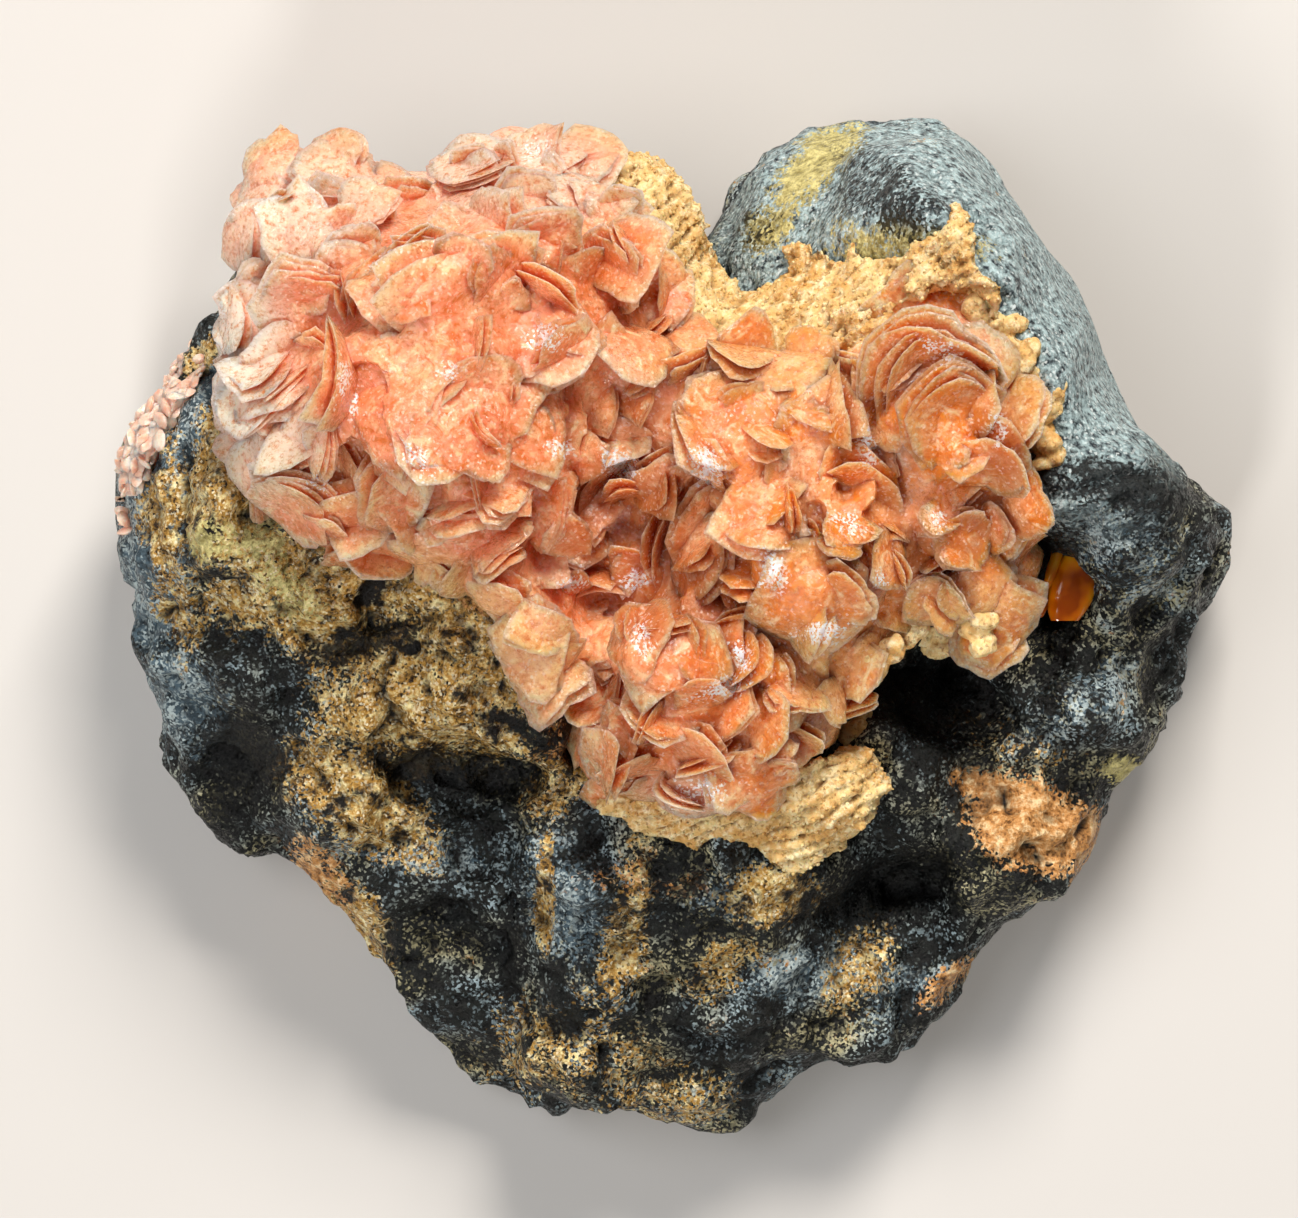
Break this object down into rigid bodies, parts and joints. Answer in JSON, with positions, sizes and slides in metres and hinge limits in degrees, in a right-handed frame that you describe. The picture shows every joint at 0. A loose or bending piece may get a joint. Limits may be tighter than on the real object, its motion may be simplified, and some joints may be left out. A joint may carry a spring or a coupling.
{
  "type": "rhodochrosite crystal cluster",
  "caption": "Natural mineral specimen: lens-shaped pink-orange crystals grown together over a dark stone matrix with ochre crusts, resting on a flat cut back.",
  "frame": {"origin": "middle of the flat cut back that the specimen rests on", "axes": "+Z out of the crystal face, away from the flat back; +Y towards the side with the notch; +X along the longest side, towards the round lobe's side"},
  "size_m": [0.0562, 0.0513, 0.0286],
  "materials": {
    "goethite": "rough broken black to blue-grey iron oxide with ochre stains and fine sparkle",
    "rhodochrosite": "translucent salmon pink to orange crystal with a vitreous to pearly lustre",
    "limonite": "dull granular ochre crust",
    "pale_rhodochrosite": "pale pink granular crystals, slightly translucent",
    "amber_crystal": "glossy amber-orange translucent crystal"
  },
  "bodies": {
    "root": {"goethite_matrix": "goethite", "rhodochrosite_cluster": "rhodochrosite", "notch_crust": "limonite", "cushion_crust": "limonite", "rim_crystals": "pale_rhodochrosite", "amber_crystals": "amber_crystal"}
  },
  "joints": []
}
